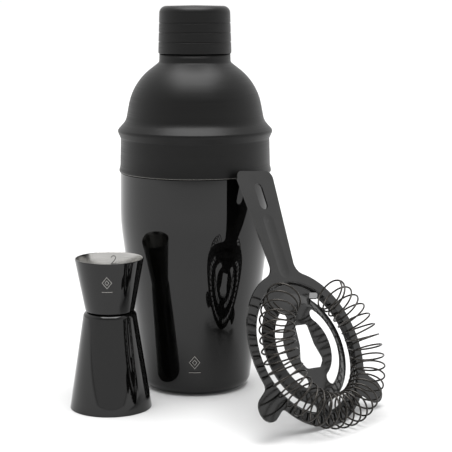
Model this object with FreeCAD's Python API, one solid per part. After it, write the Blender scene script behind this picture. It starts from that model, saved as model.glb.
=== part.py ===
"""Cocktail shaker set: three-piece shaker, double jigger and coil strainer.

Millimetres, +Z up.  The origin is the centre of the mixing tin's base, on the
counter.  The jigger stands in front of the tin on its large cup, and the coil
strainer leans on the shaker with its spring side turned away from it.

Each physical piece is one solid in its own file:
    mixing_tin, shaker_top, cap          the shaker
    jigger_small_cup, jigger_large_cup   the double jigger, two cups joined base to base
    strainer_plate, strainer_spring      the coil strainer
"""
import FreeCAD
import Part
import math
import os

Vector = FreeCAD.Vector

# ---------------------------------------------------------------- driving dimensions
GAP = 0.3                    # clearance between pieces that come apart

# mixing tin
TIN_WALL = 0.8
TIN_FLOOR = 1.0
TIN_FOOT_R = 32.1            # where the straight taper would meet the counter
TIN_FOOT_ROUND = 7.0
TIN_BEND_R = 44.7            # the taper turns upright here
TIN_BEND_Z = 100.6
TIN_BEND_ROUND = 105.0
TIN_RIM_R = 44.42
TIN_RIM_Z = 129.6

# shaker top: plug, skirt, ledge, dome and neck
TOP_WALL = 0.9
SKIRT_Z = TIN_RIM_Z + GAP    # underside of the skirt's lip
LIP_R = 45.0
LIP_HEIGHT = 1.1
SKIRT_R = 44.4
PLUG_R = 43.2                # the plug enters the tin's mouth
PLUG_DEPTH = 20.0
NECK_R = 20.85
NECK_STEP_Z = 198.9          # the cap comes down to this step
NECK_RIM_R = 19.4
NECK_RIM_Z = 216.2
SIEVE_Z = 208.6
SIEVE_HOLE_R = 1.2
SIEVE_RINGS = [(0.0, 1), (4.9, 6), (9.8, 12), (14.7, 18)]     # ring radius, holes

# cap
CAP_WALL = 0.9
CAP_BASE_R = 21.45
CAP_TOP_R = 20.6
CAP_TOP_Z = 227.0
CAP_CROWN = 0.5
CAP_ROUND = 4.2
CAP_GROOVES = [216.8, 211.3, 205.8]
CAP_GROOVE_R = 0.45          # round-bottomed grooves
CAP_GROOVE_DEPTH = 0.25

# double jigger
JIGGER_X = -47.7
JIGGER_Y = -49.9
JIGGER_WALL = 0.7
LARGE_CUP_RIM_R = 23.35
LARGE_CUP_BASE_R = 14.8
WAIST_Z = 56.0
SMALL_CUP_BASE_R = 13.8
SMALL_CUP_RIM_R = 19.55
SMALL_CUP_RIM_Z = 86.4

# coil strainer: a sheet-metal plate with a dished disc, a handle and two ears
PLATE_CENTRE = Vector(63.4, -73.5, 40.5)
PLATE_FACING = -41.42        # the spring side faces this way round the Z axis
PLATE_LEAN = 27.7            # leans back from upright
PLATE_ROLL = -5.89           # turned in its own plane
SHEET = 1.0
DISC_R = 45.0
RIM_FLAT_R = 39.4            # outside this radius the disc is flat
RIM_DROP_R = 38.6            # and inside this one it drops into the trough
TROUGH_OUTER_R = 37.2
TROUGH_INNER_R = 32.0
TROUGH_DEPTH = 1.8
PLATEAU_R = 25.6             # the middle stands up to this radius
PLATEAU_RISE = 0.6
HANDLE_END = 105.8
HANDLE_END_W = 30.7
NECK_AT = 48.0
NECK_W = 19.5
HANG_SLOT_W = 6.5
HANG_SLOT = (82.3, 98.4)     # ends of the slot, from the disc's centre
CHANNEL_DEPTH = 0.3          # long shallow channel down the handle
CHANNEL_R = 30.0
CHANNEL = (45.0, 75.0)
EAR_R = 7.2
EAR_AT = 53.6
EAR_ANGLE = 124.0            # from the handle, on both sides
OUTER_SLOT_R = 34.4
OUTER_SLOT_W = 4.5
OUTER_SLOT_ENDS = ((38.6, 172.0), (-172.0, -29.3))     # left and right of the handle
INNER_SLOT_R = 21.85
INNER_SLOT_W = 6.7
INNER_SLOT_ENDS = ((27.0, 159.0), (-159.0, -27.0))
TONGUE_W = 3.8               # the two tongues that hold the spring's ends
TONGUE_LENGTH = 5.0
TONGUE_TILT = 40.0           # from upright, away from the handle
TONGUE_ANGLES = (38.9, -29.6)

# spring, as a coil laid round the disc and open towards the handle
SPRING_RING_R = 35.7
SPRING_SHIFT = -3.35         # the ring sits lower than the disc's centre
SPRING_AXIS_N = 10.5         # height of the coil's own axis over the plate
SPRING_BULGE = (1.9, 135.0, 28.0)    # pushed out here: amount, degrees, spread
SPRING_TUCK = (-1.2, 70.0, 30.0)     # and drawn in here
COIL_R = 9.5                 # to the middle of the wire
WIRE_R = 0.5
SPRING_START = 33.0          # degrees from the handle at turn 0
TURN_PITCH = 8.588           # degrees of ring for each turn
OPEN_TURNS = 34.0            # evenly spaced turns
FIRST_TURN = -0.75           # the wire starts before turn 0, wound closer
FIRST_PITCH = 4.5
LAST_TURN = 34.85            # and ends lying beside the turn before it
LAST_PITCH = 2.5
POINTS_PER_TURN = 14
POINTS_ROUND_WIRE = 16


# ---------------------------------------------------------------- outlines
def rounded_outline(points):
    """Closed wire in the XZ plane from corners (r, z, round); each corner is an arc."""
    count = len(points)
    starts = []
    ends = []
    arcs = []
    for i in range(count):
        here = Vector(points[i][0], 0, points[i][1])
        before = Vector(points[i - 1][0], 0, points[i - 1][1]) - here
        after = Vector(points[(i + 1) % count][0], 0, points[(i + 1) % count][1]) - here
        before.normalize()
        after.normalize()
        radius = points[i][2]
        half = math.acos(max(-1.0, min(1.0, before.dot(after)))) / 2
        if radius <= 0 or abs(half - math.pi / 2) < 1e-4:
            starts.append(here)
            ends.append(here)
            arcs.append(None)
            continue
        reach = radius / math.tan(half)
        middle = before + after
        middle.normalize()
        apex = here + middle * (radius / math.sin(half) - radius)
        starts.append(here + before * reach)
        ends.append(here + after * reach)
        arcs.append(apex)
    edges = []
    for i in range(count):
        if arcs[i] is not None:
            edges.append(Part.Arc(starts[i], arcs[i], ends[i]).toShape())
        following = starts[(i + 1) % count]
        if ends[i].distanceToPoint(following) > 1e-6:
            edges.append(Part.LineSegment(ends[i], following).toShape())
    return Part.Wire(Part.__sortEdges__(edges))


def offset_points(points, wall):
    """The same open run of corners moved inwards (to the right of travel) by one wall."""
    moved = []
    for i, (r, z, radius) in enumerate(points):
        first = points[max(i - 1, 0)]
        second = points[i] if i else points[1]
        a = Vector(second[0] - first[0], 0, second[1] - first[1])
        third = points[min(i + 1, len(points) - 1)]
        b = Vector(third[0] - r, 0, third[1] - z) if i < len(points) - 1 else a
        if i == 0:
            a = b
        a.normalize()
        b.normalize()
        turn = a.x * b.z - a.z * b.x
        side = Vector(a.z + b.z, 0, -a.x - b.x)
        side = side * (wall / (1 + a.dot(b)))
        grown = radius + wall * (1 if turn > 0 else -1) if radius > 0 else 0
        moved.append((r + side.x, z + side.z, max(grown, 0)))
    return moved


def revolve(wire):
    solid = Part.Face(wire).revolve(Vector(0, 0, 0), Vector(0, 0, 1), 360)
    return solid if solid.Volume > 0 else solid.reversed()


def ring_cutter(radius, z, section_r):
    """A round ring, for cutting a groove."""
    return Part.makeTorus(radius, section_r, Vector(0, 0, z), Vector(0, 0, 1))


# ---------------------------------------------------------------- shaker
def mixing_tin():
    side = [(TIN_RIM_R, TIN_RIM_Z, 0),
            (TIN_BEND_R, TIN_BEND_Z, TIN_BEND_ROUND),
            (TIN_FOOT_R, 0, TIN_FOOT_ROUND),
            (0, 0, 0)]
    inside = offset_points(side, TIN_WALL)
    inside[-2] = (inside[-2][0], TIN_FLOOR, inside[-2][2])
    inside[-1] = (0, TIN_FLOOR, 0)
    rim = 0.35
    outline = [(side[0][0], side[0][1], rim)] + side[1:]
    outline += list(reversed(inside))[:-1]
    outline.append((inside[0][0], inside[0][1], rim))
    return revolve(rounded_outline(outline))


def shaker_top():
    body = [(NECK_R, NECK_STEP_Z, 0),
            (NECK_R + 0.15, 194.1, 2.2),          # foot of the neck
            (36.6, 181.9, 34.0),                  # dome
            (40.8, 159.9, 8.5),                   # flare
            (46.0, 154.1, 2.2),                   # ledge
            (43.95, 149.6, 1.5),
            (SKIRT_R, SKIRT_Z + 3.6, 0)]
    inside = offset_points(body, TOP_WALL)
    neck = [(NECK_RIM_R, NECK_RIM_Z, 0.4),
            (NECK_R - 0.7, NECK_STEP_Z, 0)]
    lip = [(LIP_R, SKIRT_Z + LIP_HEIGHT, 0.6),
           (LIP_R, SKIRT_Z, 0.35),
           (PLUG_R, SKIRT_Z, 0.2),
           (PLUG_R - 0.25, SKIRT_Z - PLUG_DEPTH, 0.4)]
    plug_inside = [(PLUG_R - 0.25 - TOP_WALL, SKIRT_Z - PLUG_DEPTH, 0.4),
                   (PLUG_R - TOP_WALL, SKIRT_Z + 1.2, 1.0)]
    neck_inside = [(NECK_RIM_R - TOP_WALL, NECK_RIM_Z, 0.4)]
    outline = neck + body + lip + plug_inside + list(reversed(inside)) + neck_inside
    shell = revolve(rounded_outline(outline))
    sieve = Part.makeCylinder(NECK_R - 1.2, TOP_WALL, Vector(0, 0, SIEVE_Z))
    top = shell.fuse(sieve)
    for ring, holes in SIEVE_RINGS:
        for i in range(holes):
            angle = 2 * math.pi * i / holes
            at = Vector(ring * math.cos(angle), ring * math.sin(angle), SIEVE_Z - 1)
            top = top.cut(Part.makeCylinder(SIEVE_HOLE_R, TOP_WALL + 2, at))
    return top.removeSplitter()


def cap():
    base_z = NECK_STEP_Z + GAP
    outside = [(0, CAP_TOP_Z, 0),
               (CAP_TOP_R, CAP_TOP_Z - CAP_CROWN, CAP_ROUND),
               (CAP_BASE_R, base_z, 0)]
    inside = offset_points(outside, CAP_WALL)
    inside[0] = (0, CAP_TOP_Z - CAP_WALL, 0)
    outline = outside[:-1] + [(CAP_BASE_R, base_z, 0.35)]
    outline += [(inside[-1][0], base_z, 0.3)] + list(reversed(inside))[1:]
    solid = revolve(rounded_outline(outline))
    for z in CAP_GROOVES:
        share = (z - base_z) / (CAP_TOP_Z - base_z)
        surface = CAP_BASE_R + (CAP_TOP_R - CAP_BASE_R) * share
        solid = solid.cut(ring_cutter(surface + CAP_GROOVE_R - CAP_GROOVE_DEPTH, z, CAP_GROOVE_R))
    return solid


# ---------------------------------------------------------------- double jigger
def jigger_large_cup():
    rim = 0.3
    outline = [(0, WAIST_Z, 0),
               (LARGE_CUP_BASE_R, WAIST_Z, 3.0),
               (LARGE_CUP_RIM_R, 0, rim),
               (LARGE_CUP_RIM_R - JIGGER_WALL, 0, rim),
               (LARGE_CUP_BASE_R - JIGGER_WALL + 0.1, WAIST_Z - JIGGER_WALL, 2.3),
               (0, WAIST_Z - JIGGER_WALL, 0)]
    cup = revolve(rounded_outline(outline))
    cup.translate(Vector(JIGGER_X, JIGGER_Y, 0))
    return cup


def jigger_small_cup():
    rim = 0.3
    outline = [(0, WAIST_Z, 0),
               (SMALL_CUP_BASE_R, WAIST_Z, 1.3),
               (SMALL_CUP_RIM_R, SMALL_CUP_RIM_Z, rim),
               (SMALL_CUP_RIM_R - JIGGER_WALL, SMALL_CUP_RIM_Z, rim),
               (SMALL_CUP_BASE_R - JIGGER_WALL + 0.15, WAIST_Z + JIGGER_WALL, 1.0),
               (0, WAIST_Z + JIGGER_WALL, 0)]
    cup = revolve(rounded_outline(outline))
    cup.translate(Vector(JIGGER_X, JIGGER_Y, 0))
    return cup


# ---------------------------------------------------------------- coil strainer
# The plate and the spring are drawn flat: X runs up the handle, Z points to the
# spring side, Z = 0 is the plate's spring-side face.  lean() then stands them up.
def lean(shape):
    roll = FreeCAD.Rotation(Vector(0, 0, 1), 180 + PLATE_ROLL)
    stand = FreeCAD.Rotation(Vector(0, 1, 0), 90 - PLATE_LEAN)
    face = FreeCAD.Rotation(Vector(0, 0, 1), PLATE_FACING)
    placed = shape.copy()
    placed.Placement = FreeCAD.Placement(PLATE_CENTRE, face * stand * roll)
    return placed


def polar(radius, degrees, z=0.0):
    angle = math.radians(degrees)
    return Vector(radius * math.cos(angle), radius * math.sin(angle), z)


def arc_slot(radius, width, ends):
    """Cutter for a curved slot with round ends; ends are the degrees of its two tips."""
    half = width / 2
    trim = math.degrees(half / radius)
    start = ends[0] + trim
    stop = ends[1] - trim
    middle = (start + stop) / 2
    outer = Part.Arc(polar(radius + half, start), polar(radius + half, middle),
                     polar(radius + half, stop))
    inner = Part.Arc(polar(radius - half, stop), polar(radius - half, middle),
                     polar(radius - half, start))
    stop_end = Part.Arc(polar(radius + half, stop), polar(radius, stop + trim),
                        polar(radius - half, stop))
    start_end = Part.Arc(polar(radius - half, start), polar(radius, start - trim),
                         polar(radius + half, start))
    wire = Part.Wire([e.toShape() for e in (outer, stop_end, inner, start_end)])
    cutter = Part.Face(wire).extrude(Vector(0, 0, 12))
    cutter.translate(Vector(0, 0, -6))
    return cutter


def straight_slot(x_start, x_end, width):
    half = width / 2
    box = Part.makeBox(x_end - x_start - width, width, 12, Vector(x_start + half, -half, -6))
    for x in (x_start + half, x_end - half):
        box = box.fuse(Part.makeCylinder(half, 12, Vector(x, 0, -6)))
    return box


def centre_hole():
    """Hole at the middle: narrow towards the handle, flared and rounded below."""
    half = [(13.0, 5.3), (1.5, 6.4), (-7.6, 9.8), (-12.0, 6.0)]
    corners = [Vector(x, y, -6) for x, y in half] + [Vector(x, -y, -6) for x, y in reversed(half)]
    cutter = Part.Face(Part.makePolygon(corners + corners[:1])).extrude(Vector(0, 0, 12))
    upright = [e for e in cutter.Edges if is_upright(e)]
    cutter = cutter.makeFillet(3.0, [e for e in upright if e.Vertexes[0].X < 0])
    upright = [e for e in cutter.Edges if is_upright(e) and e.Vertexes[0].X > 12.9]
    return cutter.makeFillet(1.2, upright)


def is_upright(edge):
    if len(edge.Vertexes) != 2:
        return False
    a, b = edge.Vertexes[0].Point, edge.Vertexes[1].Point
    return math.hypot(a.x - b.x, a.y - b.y) < 1e-6 and abs(a.z - b.z) > 0.1


def flat_blank():
    """Disc, handle and ears as one flat blank with rounded corners."""
    disc = Part.makeCylinder(DISC_R, SHEET, Vector(0, 0, -SHEET))
    widen = (HANDLE_END_W - NECK_W) / 2 / (HANDLE_END - NECK_AT)
    root_half = NECK_W / 2 - widen * (NECK_AT - 20)
    end_half = HANDLE_END_W / 2
    corners = [Vector(20, root_half, -SHEET), Vector(HANDLE_END, end_half, -SHEET),
               Vector(HANDLE_END, -end_half, -SHEET), Vector(20, -root_half, -SHEET)]
    handle = Part.Face(Part.makePolygon(corners + corners[:1])).extrude(Vector(0, 0, SHEET))
    blank = disc.fuse(handle)
    for side in (1, -1):
        ear = Part.makeBox(EAR_AT - 20, 2 * EAR_R, SHEET, Vector(20, -EAR_R, -SHEET))
        ear = ear.fuse(Part.makeCylinder(EAR_R, SHEET, Vector(EAR_AT, 0, -SHEET)))
        ear.rotate(Vector(0, 0, 0), Vector(0, 0, 1), side * EAR_ANGLE)
        blank = blank.fuse(ear)
    blank = blank.removeSplitter()
    ends = [e for e in blank.Edges if is_upright(e) and e.Vertexes[0].X > HANDLE_END - 1]
    blank = blank.makeFillet(4.5, ends)
    necks = [e for e in blank.Edges if is_upright(e) and 30 < e.Vertexes[0].X < 60
             and abs(e.Vertexes[0].Y) < NECK_W]
    blank = blank.makeFillet(7.0, necks)
    roots = [e for e in blank.Edges if is_upright(e) and e.Vertexes[0].X < 0
             and abs(math.hypot(e.Vertexes[0].X, e.Vertexes[0].Y) - DISC_R) < 0.05]
    return blank.makeFillet(4.0, roots)


def dished_middle():
    """The formed part of the disc: a raised middle, a slope and the trough for the spring."""
    face = [(0, PLATEAU_RISE, 0),
            (PLATEAU_R, PLATEAU_RISE, 5.0),
            (TROUGH_INNER_R, -TROUGH_DEPTH, 2.5),
            (TROUGH_OUTER_R, -TROUGH_DEPTH, 0.6),
            (RIM_DROP_R, 0, 1.2),
            (RIM_FLAT_R, 0, 0)]
    back = offset_points(face, SHEET)
    back[0] = (0, PLATEAU_RISE - SHEET, 0)
    back[-1] = (RIM_FLAT_R, -SHEET, 0)
    return revolve(rounded_outline(face + list(reversed(back))))


def channel_form(radius):
    """Round-ended bar whose lowest part shapes the handle's channel."""
    height = CHANNEL_R - CHANNEL_DEPTH
    start, end = CHANNEL
    bar = Part.makeCylinder(radius, end - start, Vector(start, 0, height), Vector(1, 0, 0))
    for x in CHANNEL:
        bar = bar.fuse(Part.makeSphere(radius, Vector(x, 0, height)))
    return bar


def tongue(angle):
    """Narrow tongue bent up at the slot's end, leaning away from the handle."""
    block = Part.makeBox(TONGUE_W, SHEET, TONGUE_LENGTH,
                         Vector(OUTER_SLOT_R - TONGUE_W / 2, -SHEET / 2, 0))
    corners = [e for e in block.Edges
               if all(abs(v.Z - TONGUE_LENGTH) < 1e-6 for v in e.Vertexes)
               and abs(e.Vertexes[0].Y - e.Vertexes[1].Y) > 0.5]
    block = block.makeFillet(1.3, corners)
    tilt = -TONGUE_TILT if angle > 0 else TONGUE_TILT
    block.rotate(Vector(0, 0, 0), Vector(1, 0, 0), tilt)
    block.translate(Vector(0, 0, -TROUGH_DEPTH - 0.7 * SHEET))
    block.rotate(Vector(0, 0, 0), Vector(0, 0, 1), angle)
    return block


def strainer_plate():
    blank = flat_blank().cut(Part.makeCylinder(RIM_FLAT_R, 4 * SHEET, Vector(0, 0, -2 * SHEET)))
    plate = blank.fuse(dished_middle())
    below = Part.makeBox(60, 20, SHEET * 3, Vector(40, -10, -3.5 * SHEET))
    ridge = channel_form(CHANNEL_R + SHEET).common(below)
    plate = plate.fuse(ridge).cut(channel_form(CHANNEL_R))
    for ends in OUTER_SLOT_ENDS:
        plate = plate.cut(arc_slot(OUTER_SLOT_R, OUTER_SLOT_W, ends))
    for ends in INNER_SLOT_ENDS:
        plate = plate.cut(arc_slot(INNER_SLOT_R, INNER_SLOT_W, ends))
    for angle in TONGUE_ANGLES:
        plate = plate.fuse(tongue(angle))
    plate = plate.cut(centre_hole())
    plate = plate.cut(straight_slot(HANG_SLOT[0], HANG_SLOT[1], HANG_SLOT_W))
    return lean(plate.removeSplitter())


def spring_angle(turn):
    """Where on the ring a turn stands; the wire's two ends are wound closer."""
    even = min(max(turn, 0.0), OPEN_TURNS)
    before = min(turn, 0.0)
    after = max(turn - OPEN_TURNS, 0.0)
    return SPRING_START + TURN_PITCH * even + FIRST_PITCH * before + LAST_PITCH * after


def swell(angle, shape):
    amount, middle, spread = shape
    return amount * math.exp(-((angle - middle) / spread) ** 2)


def spring_point(turn):
    """Middle of the wire after so many turns, on the ring round the disc."""
    angle = spring_angle(turn)
    phase = -2 * math.pi * turn
    out = SPRING_RING_R + swell(angle, SPRING_BULGE) + swell(angle, SPRING_TUCK)
    out += COIL_R * math.cos(phase)
    point = polar(out, angle, SPRING_AXIS_N + COIL_R * math.sin(phase))
    return point + Vector(SPRING_SHIFT, 0, 0)


def tube(points, radius, around):
    """Round bar whose middle runs through the points, as one closed solid."""
    last = len(points) - 1
    normal = Vector(0, 0, 1)
    rows = []
    for i, point in enumerate(points):
        along = points[min(i + 1, last)] - points[max(i - 1, 0)]
        along.normalize()
        normal = normal - along * normal.dot(along)
        normal.normalize()
        across = along.cross(normal)
        row = []
        for k in range(around):
            angle = 2 * math.pi * k / around
            row.append(point + normal * (radius * math.cos(angle))
                       + across * (radius * math.sin(angle)))
        rows.append(row + row[:1])
    surface = Part.BSplineSurface()
    surface.interpolate(rows)
    surface.setVPeriodic()
    side = surface.toShape()
    ends = [Part.makeFilledFace([e]) for e in side.Edges if e.Length < 8 * radius]
    skin = Part.makeCompound([side] + ends)
    skin.sewShape(0.005)
    return Part.makeSolid(skin.Shells[0])


def strainer_spring():
    count = round((LAST_TURN - FIRST_TURN) * POINTS_PER_TURN)
    step = (LAST_TURN - FIRST_TURN) / count
    points = [spring_point(FIRST_TURN + step * i) for i in range(count + 1)]
    return lean(tube(points, WIRE_R, POINTS_ROUND_WIRE))


# ---------------------------------------------------------------- output
PIECES = {
    "mixing_tin": mixing_tin,
    "shaker_top": shaker_top,
    "cap": cap,
    "jigger_small_cup": jigger_small_cup,
    "jigger_large_cup": jigger_large_cup,
    "strainer_plate": strainer_plate,
    "strainer_spring": strainer_spring,
}

os.makedirs("parts", exist_ok=True)
for name, make in PIECES.items():
    shape = make()
    if shape.ShapeType == "Compound" and len(shape.Solids) == 1:
        shape = shape.Solids[0]
    box = shape.BoundBox
    print(name, shape.ShapeType, "valid", shape.isValid(), "solids", len(shape.Solids),
          "volume", round(shape.Volume), "x", round(box.XMin, 1), round(box.XMax, 1),
          "y", round(box.YMin, 1), round(box.YMax, 1), "z", round(box.ZMin, 2), round(box.ZMax, 2))
    shape.exportStep("parts/" + name + ".step")
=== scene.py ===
"""Looks for the cocktail shaker set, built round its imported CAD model.

The five spun pieces are lathed afresh from their outlines, finer than the CAD
mesh, so that gloss and spun grain run true round them.  The strainer's plate and
spring are the CAD's own meshes with new materials.
"""

import math

import bmesh
import bpy
from mathutils import Matrix, Vector


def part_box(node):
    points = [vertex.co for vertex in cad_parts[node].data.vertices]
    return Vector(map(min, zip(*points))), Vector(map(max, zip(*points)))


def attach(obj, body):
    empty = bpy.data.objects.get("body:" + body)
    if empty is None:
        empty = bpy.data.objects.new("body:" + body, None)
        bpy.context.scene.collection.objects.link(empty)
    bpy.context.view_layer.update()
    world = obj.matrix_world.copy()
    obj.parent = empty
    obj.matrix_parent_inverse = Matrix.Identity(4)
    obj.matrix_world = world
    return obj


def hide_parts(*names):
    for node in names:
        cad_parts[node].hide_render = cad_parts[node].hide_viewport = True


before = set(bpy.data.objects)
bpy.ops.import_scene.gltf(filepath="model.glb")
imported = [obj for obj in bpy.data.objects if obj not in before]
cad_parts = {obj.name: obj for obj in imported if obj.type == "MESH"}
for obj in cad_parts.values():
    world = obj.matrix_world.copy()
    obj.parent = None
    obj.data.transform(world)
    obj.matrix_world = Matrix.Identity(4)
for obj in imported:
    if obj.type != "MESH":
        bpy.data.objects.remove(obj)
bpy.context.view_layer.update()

MM = 0.001
SIEVE_HOLE_R = 1.2
SIEVE_RINGS = [(0.0, 1), (4.9, 6), (9.8, 12), (14.7, 18)]     # ring radius, holes
SIEVE_OUTLINE = 96           # points round the sieve and round each of its holes
SIEVE_HOLE_POINTS = 20
SEGMENTS = 224               # round each spun piece
ARC_STEP = math.radians(4)   # along each rounded corner
LONGEST_STEP = 6.0           # mm along a spun outline
GROOVES_Z = (216.8, 211.3, 205.8)
LARGE_RIM_R = 23.35          # the jigger's cups
SMALL_FOOT_R = 13.8
SMALL_RIM_R = 19.55
MARK_LIFT = 0.03             # height of an engraved line
CAMERA_PLACE = (0.01825, -0.83226, 0.2335)
CAMERA_TILT = 9.354          # degrees below level
CAMERA_LENS = 112.27
ROOM = 1.02                  # brightness of the studio all round
ROOM_DIM = 0.40              # and high up behind the camera
GLOW_NEAR = 0.02             # the floor's own light, near and far
GLOW_FAR = 0.55


def top_of(node):
    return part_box(node)[1].z / MM


def axis_of(node):
    low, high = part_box(node)
    return (low.x + high.x) / 2, (low.y + high.y) / 2


def made_from(bm, name):
    """A new object holding a finished bmesh."""
    mesh = bpy.data.meshes.new(name)
    bm.to_mesh(mesh)
    bm.free()
    piece = bpy.data.objects.new(name, mesh)
    bpy.context.collection.objects.link(piece)
    return piece


# ---------------------------------------------------------------- spun outlines
def rounded(points):
    """Corners (r, z, round, face) as a fine run of (r, z, face); closed."""
    run = []
    count = len(points)
    for i, (r, z, radius, face) in enumerate(points):
        here = Vector((r, z))
        before = (Vector(points[i - 1][:2]) - here).normalized()
        after = (Vector(points[(i + 1) % count][:2]) - here).normalized()
        half = math.acos(max(-1.0, min(1.0, before.dot(after)))) / 2
        if radius <= 0 or abs(half - math.pi / 2) < 1e-4:
            run.append((r, z, face))
            continue
        reach = radius / math.tan(half)
        middle = (before + after).normalized()
        centre = here + middle * (radius / math.sin(half))
        start = here + before * reach - centre
        sweep = start.angle_signed(here + after * reach - centre)
        steps = max(2, math.ceil(abs(sweep) / ARC_STEP))
        for k in range(steps + 1):
            turn = Matrix.Rotation(-sweep * k / steps, 2)
            at = centre + turn @ start
            run.append((at.x, at.y, face))
    return run


def offset(points, wall):
    """An open run of corners moved one wall to the right of travel."""
    moved = []
    last = len(points) - 1
    for i, (r, z, radius) in enumerate(points):
        a = Vector(points[max(i, 1)][:2]) - Vector(points[max(i, 1) - 1][:2])
        b = Vector(points[min(i, last - 1) + 1][:2]) - Vector(points[min(i, last - 1)][:2])
        a.normalize()
        b.normalize()
        turn = a.x * b.y - a.y * b.x
        side = Vector((a.y + b.y, -a.x - b.x)) * (wall / (1 + a.dot(b)))
        grown = radius + wall * (1 if turn > 0 else -1) if radius > 0 else 0
        moved.append((r + side.x, z + side.y, max(grown, 0)))
    return moved


def face_of(points, face):
    return [point + (face,) for point in points]


def lathe(name, points, centre=(0.0, 0.0)):
    """A closed outline of corners (r, z, round, material) spun into one piece."""
    run = rounded(points)
    fine = []
    for i, (r, z, face) in enumerate(run):
        following = run[(i + 1) % len(run)]
        length = math.hypot(following[0] - r, following[1] - z)
        parts = max(1, math.ceil(length / LONGEST_STEP))
        for k in range(parts):
            share = k / parts
            fine.append((r + (following[0] - r) * share, z + (following[1] - z) * share, face))
    bm = bmesh.new()
    uv = bm.loops.layers.uv.new("round_and_along")
    rings = []
    along = [0.0]
    for i, (r, z, face) in enumerate(fine):
        following = fine[(i + 1) % len(fine)]
        along.append(along[-1] + math.hypot(following[0] - r, following[1] - z) * MM)
        if r < 1e-6:
            rings.append([bm.verts.new((centre[0], centre[1], z * MM))])
            continue
        ring = []
        for k in range(SEGMENTS):
            angle = 2 * math.pi * k / SEGMENTS
            ring.append(bm.verts.new((centre[0] + r * MM * math.cos(angle),
                                      centre[1] + r * MM * math.sin(angle), z * MM)))
        rings.append(ring)
    for i, ring in enumerate(rings):
        following = rings[(i + 1) % len(rings)]
        if len(ring) == 1 and len(following) == 1:
            continue
        for k in range(SEGMENTS):
            n = (k + 1) % SEGMENTS
            corners = [(ring[k % len(ring)], k, along[i]),
                       (ring[n % len(ring)], k + 1, along[i]),
                       (following[n % len(following)], k + 1, along[i + 1]),
                       (following[k % len(following)], k, along[i + 1])]
            if len(ring) == 1:
                corners.pop(1)
            if len(following) == 1:
                corners.pop(2)
            face = bm.faces.new([corner[0] for corner in corners])
            face.material_index = fine[i][2]
            face.smooth = True
            for loop, corner in zip(face.loops, corners):
                loop[uv].uv = (corner[1] / SEGMENTS, corner[2] * 10)
    bmesh.ops.recalc_face_normals(bm, faces=bm.faces)
    return made_from(bm, name)


# ---------------------------------------------------------------- materials
def material(name, colour, roughness, metallic=0.0, ior=1.5, specular=0.5, anisotropic=0.0):
    mat = bpy.data.materials.new(name)
    mat.use_nodes = True
    shader = mat.node_tree.nodes["Principled BSDF"]
    shader.inputs["Base Color"].default_value = (*colour, 1)
    shader.inputs["Roughness"].default_value = roughness
    shader.inputs["Metallic"].default_value = metallic
    shader.inputs["IOR"].default_value = ior
    shader.inputs["Specular IOR Level"].default_value = specular
    shader.inputs["Anisotropic"].default_value = anisotropic
    return mat, mat.node_tree.nodes, mat.node_tree.links, shader


def noise(nodes, links, source, scale, stretch=(1, 1, 1), detail=3.0):
    """Noise read from a coordinate output, stretched along its axes."""
    mapping = nodes.new("ShaderNodeMapping")
    mapping.inputs["Scale"].default_value = stretch
    links.new(source, mapping.inputs["Vector"])
    texture = nodes.new("ShaderNodeTexNoise")
    texture.inputs["Scale"].default_value = scale
    texture.inputs["Detail"].default_value = detail
    links.new(mapping.outputs["Vector"], texture.inputs["Vector"])
    return texture.outputs["Fac"]


def spread(nodes, links, source, low, high, out_low, out_high):
    ranged = nodes.new("ShaderNodeMapRange")
    ranged.inputs["From Min"].default_value = low
    ranged.inputs["From Max"].default_value = high
    ranged.inputs["To Min"].default_value = out_low
    ranged.inputs["To Max"].default_value = out_high
    links.new(source, ranged.inputs["Value"])
    return ranged.outputs["Result"]


def two_tone(nodes, links, source, dark, light, low=0.35, high=0.65):
    ramp = nodes.new("ShaderNodeValToRGB")
    ramp.color_ramp.elements[0].position = low
    ramp.color_ramp.elements[0].color = (*dark, 1)
    ramp.color_ramp.elements[1].position = high
    ramp.color_ramp.elements[1].color = (*light, 1)
    links.new(source, ramp.inputs["Fac"])
    return ramp.outputs["Color"]


def bump(nodes, links, shader, source, strength, distance):
    node = nodes.new("ShaderNodeBump")
    node.inputs["Strength"].default_value = strength
    node.inputs["Distance"].default_value = distance
    links.new(source, node.inputs["Height"])
    links.new(node.outputs["Normal"], shader.inputs["Normal"])


def gloss_black():
    mat, nodes, links, shader = material("gloss_black", (0.0012, 0.0012, 0.0012), 0.03,
                                         specular=0.42)
    place = nodes.new("ShaderNodeTexCoord").outputs["Object"]
    cloud = noise(nodes, links, place, 60.0)
    links.new(two_tone(nodes, links, cloud, (0.0010, 0.0010, 0.0010), (0.0018, 0.0018, 0.0016)),
              shader.inputs["Base Color"])
    haze = noise(nodes, links, place, 900.0, detail=5.0)
    links.new(spread(nodes, links, haze, 0.3, 0.7, 0.02, 0.05), shader.inputs["Roughness"])
    bump(nodes, links, shader, noise(nodes, links, place, 260.0), 0.02, 0.00002)
    return mat


def satin_black():
    mat, nodes, links, shader = material("satin_black", (0.002, 0.002, 0.002), 0.34,
                                         specular=0.24)
    wrap = nodes.new("ShaderNodeUVMap")
    wrap.uv_map = "round_and_along"
    grain = noise(nodes, links, wrap.outputs["UV"], 1.0, (3.0, 420.0, 1.0), 4.0)
    links.new(two_tone(nodes, links, grain, (0.0006, 0.0006, 0.0006), (0.0026, 0.0025, 0.0023)),
              shader.inputs["Base Color"])
    links.new(spread(nodes, links, grain, 0.3, 0.7, 0.32, 0.50), shader.inputs["Roughness"])
    bump(nodes, links, shader, grain, 0.5, 0.00006)
    return mat


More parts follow.
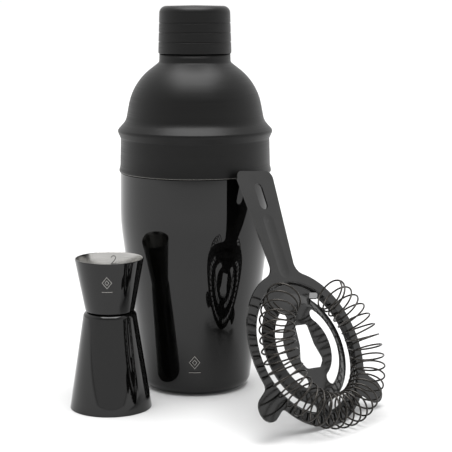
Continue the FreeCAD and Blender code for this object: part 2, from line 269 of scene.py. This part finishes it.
def bare_steel():
    mat, nodes, links, shader = material("bare_steel", (0.53, 0.52, 0.505), 0.17, metallic=1.0,
                                         anisotropic=0.4)
    wrap = nodes.new("ShaderNodeUVMap")
    wrap.uv_map = "round_and_along"
    grain = noise(nodes, links, wrap.outputs["UV"], 1.0, (8.0, 700.0, 1.0), 5.0)
    links.new(two_tone(nodes, links, grain, (0.46, 0.455, 0.44), (0.60, 0.59, 0.57)),
              shader.inputs["Base Color"])
    links.new(spread(nodes, links, grain, 0.3, 0.7, 0.13, 0.22), shader.inputs["Roughness"])
    bump(nodes, links, shader, grain, 0.3, 0.00003)
    return mat


def plate_black():
    mat, nodes, links, shader = material("plate_black", (0.003, 0.003, 0.003), 0.13)
    place = nodes.new("ShaderNodeTexCoord").outputs["Object"]
    cloud = noise(nodes, links, place, 90.0)
    links.new(two_tone(nodes, links, cloud, (0.0020, 0.0020, 0.0019), (0.0050, 0.0049, 0.0046)),
              shader.inputs["Base Color"])
    haze = noise(nodes, links, place, 1200.0, detail=5.0)
    links.new(spread(nodes, links, haze, 0.3, 0.7, 0.10, 0.16), shader.inputs["Roughness"])
    bump(nodes, links, shader, noise(nodes, links, place, 300.0), 0.03, 0.00002)
    return mat


def spring_wire():
    mat, nodes, links, shader = material("spring_wire", (0.006, 0.0055, 0.005), 0.25,
                                         specular=0.42)
    place = nodes.new("ShaderNodeTexCoord").outputs["Object"]
    drawn = noise(nodes, links, place, 700.0, detail=4.0)
    links.new(two_tone(nodes, links, drawn, (0.004, 0.0037, 0.0033), (0.011, 0.0098, 0.0085)),
              shader.inputs["Base Color"])
    shader.inputs["Specular Tint"].default_value = (1.0, 0.93, 0.85, 1.0)
    links.new(spread(nodes, links, drawn, 0.3, 0.7, 0.20, 0.30), shader.inputs["Roughness"])
    bump(nodes, links, shader, drawn, 0.1, 0.00002)
    return mat


def etched(name, dark, light):
    """Fine frosted metal of an engraved line; also the lighter metal of the painted highlight on the
    shaker top's lip.
    """
    mat, nodes, links, shader = material(name, light, 0.45, metallic=0.6)
    place = nodes.new("ShaderNodeTexCoord").outputs["Object"]
    frost = noise(nodes, links, place, 2600.0, detail=2.0)
    links.new(two_tone(nodes, links, frost, dark, light), shader.inputs["Base Color"])
    links.new(spread(nodes, links, frost, 0.3, 0.7, 0.35, 0.55), shader.inputs["Roughness"])
    return mat


GLOSS = gloss_black()
SATIN = satin_black()
STEEL = bare_steel()
PLATE = plate_black()
WIRE = spring_wire()
DRILLED = etched("drilled_steel", (0.50, 0.49, 0.47), (0.62, 0.61, 0.59))
# painted highlight: lighter metal on the lower round of the shaker top's lip, standing in for the
# light that edge catches
LIP_PAINTED_HIGHLIGHT = etched("lip_painted_highlight", (0.10, 0.098, 0.092), (0.20, 0.195, 0.18))
ETCHED_LIGHT = etched("etched_light", (0.20, 0.195, 0.185), (0.34, 0.33, 0.31))
ETCHED_DARK = etched("etched_dark", (0.05, 0.05, 0.048), (0.12, 0.118, 0.11))
OUT, IN, EDGE = 0, 1, 2      # a spun piece's material slots


def dress(piece, slot, *materials):
    for mat in materials:
        piece.data.materials.append(mat)


# ---------------------------------------------------------------- shaker
def mixing_tin():
    rim_z = top_of("mixing_tin")
    wall = 0.8
    floor = 1.0
    side = [(44.42, rim_z, 0), (44.7, 100.6, 105.0), (32.1, 0, 7.0), (0, 0, 0)]
    inside = offset(side, wall)
    inside[-2] = (inside[-2][0], floor, inside[-2][2])
    inside[-1] = (0, floor, 0)
    outline = face_of([(side[0][0], rim_z, 0.35)] + side[1:], OUT)
    outline += face_of(list(reversed(inside))[:-1], IN)
    outline += face_of([(inside[0][0], rim_z, 0.35)], IN)
    piece = lathe("tin_spun", outline)
    dress(piece, "gloss_black", GLOSS, STEEL)
    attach(piece, "tin")
    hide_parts("mixing_tin")


def sieve(radius, z, thickness):
    """The pouring sieve across the neck, with its drilled rings of holes."""
    bm = bmesh.new()
    edges = []

    def loop(cx, cy, r, count):
        ring = []
        for k in range(count):
            angle = 2 * math.pi * k / count
            ring.append(bm.verts.new(((cx + r * math.cos(angle)) * MM,
                                      (cy + r * math.sin(angle)) * MM, z * MM)))
        for k in range(count):
            edges.append(bm.edges.new((ring[k], ring[(k + 1) % count])))

    loop(0, 0, radius, SIEVE_OUTLINE)
    for ring_r, count in SIEVE_RINGS:
        for k in range(count):
            angle = 2 * math.pi * k / count
            loop(ring_r * math.cos(angle), ring_r * math.sin(angle), SIEVE_HOLE_R, SIEVE_HOLE_POINTS)
    bmesh.ops.triangle_fill(bm, use_beauty=True, use_dissolve=False, edges=edges)
    holes = []
    for face in bm.faces:
        middle = face.calc_center_median() / MM
        for ring_r, count in SIEVE_RINGS:
            for k in range(count):
                angle = 2 * math.pi * k / count
                away = math.hypot(middle.x - ring_r * math.cos(angle),
                                  middle.y - ring_r * math.sin(angle))
                if away < SIEVE_HOLE_R * 0.98:
                    holes.append(face)
    bmesh.ops.delete(bm, geom=list(set(holes)), context="FACES_ONLY")
    grown = bmesh.ops.extrude_face_region(bm, geom=list(bm.faces))
    raised = [item for item in grown["geom"] if isinstance(item, bmesh.types.BMVert)]
    bmesh.ops.translate(bm, vec=(0, 0, thickness * MM), verts=raised)
    bmesh.ops.recalc_face_normals(bm, faces=bm.faces)
    return made_from(bm, "sieve_disc")


def shaker_top():
    seam = top_of("mixing_tin") + 0.3
    rim = top_of("shaker_top")
    neck_height = 17.3
    step = rim - neck_height
    wall = 0.9
    plug_r = 43.2
    plug_length = 20.0
    plug_end = seam - plug_length
    sieve_depth = 7.6
    body = [(20.85, step, 0), (21.0, step - 4.8, 2.2), (36.6, step - 17.0, 34.0),
            (40.8, step - 39.0, 8.5), (46.0, step - 44.8, 2.2), (43.95, step - 49.3, 1.5),
            (44.4, seam + 3.6, 0)]
    inside = offset(body, wall)
    outline = face_of([(19.4, rim, 0.4), (20.15, step, 0)] + body, OUT)
    outline += face_of([(45.0, seam + 1.1, 0.6)], OUT)
    # the lip's lower round takes the painted highlight material
    outline += face_of([(45.0, seam, 0.35)], EDGE)
    outline += face_of([(plug_r, seam, 0.2)], OUT)
    outline += face_of([(plug_r - 0.25, plug_end, 0.4), (plug_r - 0.25 - wall, plug_end, 0.4),
                        (plug_r - wall, seam + 1.2, 1.0)], IN)
    outline += face_of(list(reversed(inside)), IN)
    outline += face_of([(19.4 - wall, rim, 0.4)], IN)
    piece = lathe("top_spun", outline)
    dress(piece, "satin_black", SATIN, STEEL, LIP_PAINTED_HIGHLIGHT)
    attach(piece, "top")
    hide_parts("shaker_top")
    disc = sieve(19.3, rim - sieve_depth, wall)
    dress(disc, "bare_steel", DRILLED)
    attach(disc, "top")


def cap():
    low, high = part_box("cap")
    base_z = low.z / MM
    crown_z = high.z / MM
    wall = 0.9
    base_r = 21.45
    top_r = 20.6
    shoulder_z = crown_z - 0.5
    outline = face_of([(0, crown_z, 0), (top_r, shoulder_z, 4.2)], OUT)
    for z in GROOVES_Z:
        share = (z - base_z) / (shoulder_z - base_z)
        r = base_r + (top_r - base_r) * share
        outline += face_of([(r, z + 0.38, 0.1), (r - 0.25, z + 0.16, 0.1),
                            (r - 0.25, z - 0.16, 0.1), (r, z - 0.38, 0.1)], OUT)
    outline += face_of([(base_r, base_z, 0.35)], OUT)
    outline += face_of([(base_r - wall, base_z, 0.3), (top_r - wall, shoulder_z - wall, 3.3),
                        (0, crown_z - wall, 0)], IN)
    piece = lathe("cap_spun", outline)
    dress(piece, "satin_black", SATIN, STEEL)
    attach(piece, "cap")
    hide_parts("cap")


# ---------------------------------------------------------------- double jigger
def large_cup():
    waist = top_of("jigger_large_cup")
    wall = 0.7
    outline = face_of([(0, waist, 0), (14.8, waist, 3.0), (LARGE_RIM_R, 0, 0.3)], OUT)
    outline += face_of([(LARGE_RIM_R - wall, 0, 0.3), (14.2, waist - wall, 2.3),
                        (0, waist - wall, 0)], IN)
    piece = lathe("large_cup_spun", outline, axis_of("jigger_large_cup"))
    dress(piece, "gloss_black", GLOSS, STEEL)
    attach(piece, "jigger")
    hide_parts("jigger_large_cup")


def small_cup():
    low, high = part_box("jigger_small_cup")
    waist = low.z / MM
    rim = high.z / MM
    wall = 0.7
    outline = face_of([(0, waist, 0), (SMALL_FOOT_R, waist, 1.3), (SMALL_RIM_R, rim, 0.3)], OUT)
    outline += face_of([(SMALL_RIM_R - wall, rim, 0.3), (13.25, waist + wall, 1.0),
                        (0, waist + wall, 0)], IN)
    piece = lathe("small_cup_spun", outline, axis_of("jigger_small_cup"))
    dress(piece, "gloss_black", GLOSS, STEEL)
    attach(piece, "jigger")
    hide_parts("jigger_small_cup")


# ---------------------------------------------------------------- engraved marks
def engrave(name, strokes, width, at, height, mat, slot):
    """Thin raised lines along (across, up) strokes in mm; at() finds a point on the surface."""
    bm = bmesh.new()
    for stroke, closed in strokes:
        points = [Vector(point) for point in stroke]
        fine = []
        for i in range(len(points) if closed else len(points) - 1):
            a = points[i]
            b = points[(i + 1) % len(points)]
            parts = max(1, math.ceil((b - a).length / 0.5))
            fine += [a.lerp(b, k / parts) for k in range(parts)]
        if not closed:
            fine.append(points[-1])
        count = len(fine)
        sections = []
        for i, here in enumerate(fine):
            before = fine[i - 1] if closed or i > 0 else here
            after = fine[(i + 1) % count] if closed or i < count - 1 else here
            outward = (after - here).normalized() if after != here else (here - before).normalized()
            inward = (here - before).normalized() if before != here else outward
            along = (inward + outward).normalized()
            side = Vector((-along.y, along.x)) * (width / 2 / max(0.5, along.dot(outward)))
            section = []
            for across, lift in ((1, -height), (1, height), (-1, height), (-1, -height)):
                spot = here + side * across
                section.append(bm.verts.new(at(spot.x, spot.y, lift)))
            sections.append(section)
        for i in range(count if closed else count - 1):
            a = sections[i]
            b = sections[(i + 1) % count]
            for k in range(4):
                bm.faces.new((a[k], a[(k + 1) % 4], b[(k + 1) % 4], b[k]))
        if not closed:
            bm.faces.new(sections[0])
            bm.faces.new(sections[-1])
    bmesh.ops.recalc_face_normals(bm, faces=bm.faces)
    piece = made_from(bm, name)
    dress(piece, slot, mat)
    return piece


def on_cone(centre, low, high, middle_z, azimuth):
    """Maps (across, up, lift) in mm on to the cone through two (r, z) rings."""
    def at(across, up, lift):
        z = middle_z + up
        r = low[0] + (high[0] - low[0]) * (z - low[1]) / (high[1] - low[1])
        angle = math.radians(azimuth) + across / r
        return (centre[0] + (r + lift) * MM * math.cos(angle),
                centre[1] + (r + lift) * MM * math.sin(angle), z * MM)
    return at


def plain_mark(size):
    """A plain lozenge over a short bar."""
    half = size / 2
    lozenge = [(-half * 0.8, 0), (0, half), (half * 0.8, 0), (0, -half)]
    small = [(x * 0.42, y * 0.42) for x, y in lozenge]
    bar = [(-half * 0.9, -half * 1.65), (half * 0.9, -half * 1.65)]
    return [(lozenge, True), (small, True), (bar, False)]


def number_two(height):
    """The digit 2, one stroke, mirrored because it is read from inside the cup."""
    radius = height * 0.27
    stroke = []
    for k in range(15):
        angle = math.radians(170 - 215 * k / 14)
        stroke.append((-radius * math.cos(angle), height - radius + radius * math.sin(angle)))
    stroke += [(radius, 0), (-radius * 1.1, 0)]
    return [(stroke, False)]


def marks():
    tin_side = on_cone((0, 0), (35.2, 20.0), (37.7, 40.0), 21.6, -90)
    mark = engrave("tin_mark", plain_mark(7.6), 0.36, tin_side, MARK_LIFT,
                   ETCHED_LIGHT, "bare_steel")
    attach(mark, "tin")

    centre = axis_of("jigger_small_cup")
    waist = 56.0
    rim = 86.4
    cup_side = on_cone(centre, (SMALL_FOOT_R, waist), (SMALL_RIM_R, rim), 75.4, -90)
    mark = engrave("jigger_mark", plain_mark(6.6), 0.32, cup_side, MARK_LIFT,
                   ETCHED_LIGHT, "bare_steel")
    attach(mark, "jigger")

    wall = 0.7
    cup_inside = on_cone(centre, (SMALL_FOOT_R - wall, waist), (SMALL_RIM_R - wall, rim), 79.6, 87)
    measure = engrave("measure_2", number_two(4.6), 0.4, cup_inside, MARK_LIFT,
                      ETCHED_DARK, "bare_steel")
    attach(measure, "jigger")


# ---------------------------------------------------------------- carried CAD nodes
def carry(node, mat):
    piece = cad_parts[node]
    piece.data.materials.clear()
    piece.data.materials.append(mat)


mixing_tin()
shaker_top()
cap()
large_cup()
small_cup()
marks()
carry("strainer_plate", PLATE)
carry("strainer_spring", WIRE)


# ---------------------------------------------------------------- studio
def softbox(name, place, target, width, height, power):
    light = bpy.data.lights.new(name, "AREA")
    light.shape = "RECTANGLE"
    light.size = width
    light.size_y = height
    light.energy = power
    box = bpy.data.objects.new(name, light)
    box.location = place
    box.rotation_euler = (Vector(target) - Vector(place)).to_track_quat("-Z", "Y").to_euler()
    bpy.context.collection.objects.link(box)


def pale_floor():
    """White floor, lit from within further out so that it stays even to the horizon."""
    mat, nodes, links, shader = material("floor_white", (0.63, 0.63, 0.63), 0.8, specular=0.1)
    place = nodes.new("ShaderNodeTexCoord").outputs["Object"]
    way = nodes.new("ShaderNodeVectorMath")
    way.operation = "LENGTH"
    links.new(place, way.inputs[0])
    outward = spread(nodes, links, way.outputs["Value"], 0.3, 1.3, GLOW_NEAR, GLOW_FAR)
    split = nodes.new("ShaderNodeSeparateXYZ")
    links.new(place, split.inputs["Vector"])
    ahead = spread(nodes, links, split.outputs["Y"], -1.7, -0.7, 0.0, 1.0)
    glow = nodes.new("ShaderNodeMath")
    glow.operation = "MULTIPLY"
    links.new(outward, glow.inputs[0])
    links.new(ahead, glow.inputs[1])
    shader.inputs["Emission Color"].default_value = (1, 1, 1, 1)
    links.new(glow.outputs["Value"], shader.inputs["Emission Strength"])
    return mat


def studio():
    bm = bmesh.new()
    size = 5.0
    corners = [bm.verts.new((x, y, 0)) for x, y in ((-size, -size), (size, -size),
                                                    (size, size), (-size, size))]
    bm.faces.new(corners)
    floor = made_from(bm, "floor")
    floor.data.materials.append(pale_floor())

    world = bpy.data.worlds.new("studio")
    bpy.context.scene.world = world
    world.use_nodes = True
    nodes = world.node_tree.nodes
    links = world.node_tree.links
    way = nodes.new("ShaderNodeSeparateXYZ")
    links.new(nodes.new("ShaderNodeTexCoord").outputs["Generated"], way.inputs["Vector"])
    ahead = spread(nodes, links, way.outputs["Y"], -0.75, 0.0, 1.0, 0.0)
    above = spread(nodes, links, way.outputs["Z"], 0.2, 0.5, 0.0, 1.0)
    dim = nodes.new("ShaderNodeMath")
    dim.operation = "MULTIPLY"
    links.new(ahead, dim.inputs[0])
    links.new(above, dim.inputs[1])
    room = spread(nodes, links, dim.outputs["Value"], 0.0, 1.0, ROOM, ROOM_DIM)
    links.new(room, nodes["Background"].inputs["Strength"])
    nodes["Background"].inputs["Color"].default_value = (1, 1, 1, 1)

    softbox("overhead", (-0.02, -0.15, 1.45), (-0.02, -0.15, 0), 1.25, 1.2, 32.0)

    camera = bpy.data.cameras.new("camera")
    camera.sensor_width = 36.0
    camera.lens = CAMERA_LENS
    camera.clip_start = 0.05
    camera.clip_end = 50.0
    eye = bpy.data.objects.new("camera", camera)
    eye.location = CAMERA_PLACE
    eye.rotation_euler = (math.radians(90 - CAMERA_TILT), 0, 0)
    bpy.context.collection.objects.link(eye)
    bpy.context.scene.camera = eye
    bpy.context.scene.view_settings.view_transform = "Standard"


studio()

bpy.context.view_layer.update()
